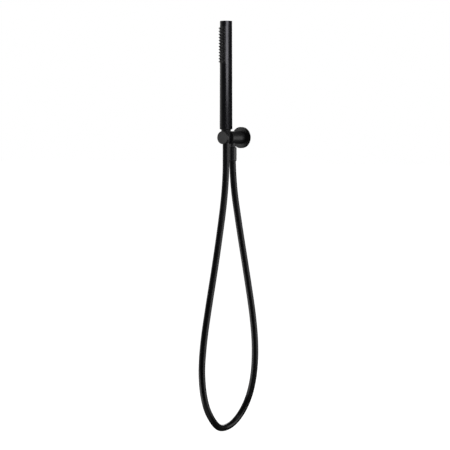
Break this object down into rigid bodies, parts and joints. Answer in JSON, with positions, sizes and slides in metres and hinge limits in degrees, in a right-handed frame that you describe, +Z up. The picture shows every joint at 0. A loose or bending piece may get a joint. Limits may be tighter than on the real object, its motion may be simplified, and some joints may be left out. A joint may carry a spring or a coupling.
{
  "type": "hand shower with wall outlet holder",
  "caption": "Slim stick hand shower resting in a round wall outlet elbow with a slotted conical seat, joined to it by a smooth flexible hose.",
  "frame": {"origin": "on the wall plane at the centre of the wall plate, on the axis of the threaded wall inlet", "axes": "+Z up, +Y into the wall along the inlet thread, -Y out into the room, +X to the right of someone facing the wall"},
  "size_m": [0.0721, 0.1795, 0.8512],
  "materials": {
    "black_coat": "matt black coating on brass, very fine texture",
    "black_shell": "satin black plastic, smooth",
    "black_plastic": "matt black moulded plastic",
    "black_hose": "smooth satin black PVC",
    "nozzle_silicone": "soft matt black silicone",
    "seal_rubber": "black nitrile rubber",
    "bare_brass": "machined brass",
    "white_plastic": "white acetal",
    "grey_plastic": "grey moulded plastic",
    "stainless": "stainless steel",
    "foam": "closed-cell foam rubber"
  },
  "bodies": {
    "bracket": {"outlet_arm": "black_coat", "escutcheon": "black_coat", "escutcheon_o_ring": "seal_rubber", "escutcheon_gasket": "foam", "seat_liner": "black_plastic", "wall_nipple": "bare_brass", "nipple_o_rings": "seal_rubber", "grub_screw": "stainless", "check_valve_cage": "white_plastic", "check_valve_spring": "stainless", "hose": "black_hose", "wall_hose_stem": "black_coat", "stem_o_ring": "seal_rubber", "wall_hose_sleeve": "black_coat"},
    "check_valve": {"check_valve_poppet": "grey_plastic", "poppet_seal": "seal_rubber"},
    "hose_end": {"handset_hose_tail": "bare_brass", "handset_hose_sleeve": "stainless"},
    "handset": {"cone_nut": "black_coat", "cone_washer": "seal_rubber", "handset_shell": "black_shell", "top_cap": "black_plastic", "cap_o_ring": "seal_rubber", "nozzle_face": "black_plastic", "nozzle_pad": "nozzle_silicone", "spray_chamber": "grey_plastic", "water_tube": "grey_plastic", "water_tube_o_rings": "seal_rubber", "inlet_connector": "grey_plastic", "connector_o_ring": "seal_rubber", "flow_limiter": "white_plastic", "filter_screen": "stainless"}
  },
  "joints": [
    {"name": "handset_lift", "type": "slide", "parent": "bracket", "child": "hose_end", "axis": [0, 0, 1], "range_m": [0, 0.035]},
    {"name": "handset_swivel", "type": "hinge", "parent": "hose_end", "child": "handset", "pos_m": [0, -0.057, 0.02], "axis": [0, 0, 1], "continuous": true},
    {"name": "check_valve_opening", "type": "slide", "parent": "bracket", "child": "check_valve", "axis": [0, -1, 0], "range_m": [0, 0.0025], "stiffness_N_per_m": 60, "springref_m": -0.002, "deforming": ["check_valve_spring"]}
  ]
}
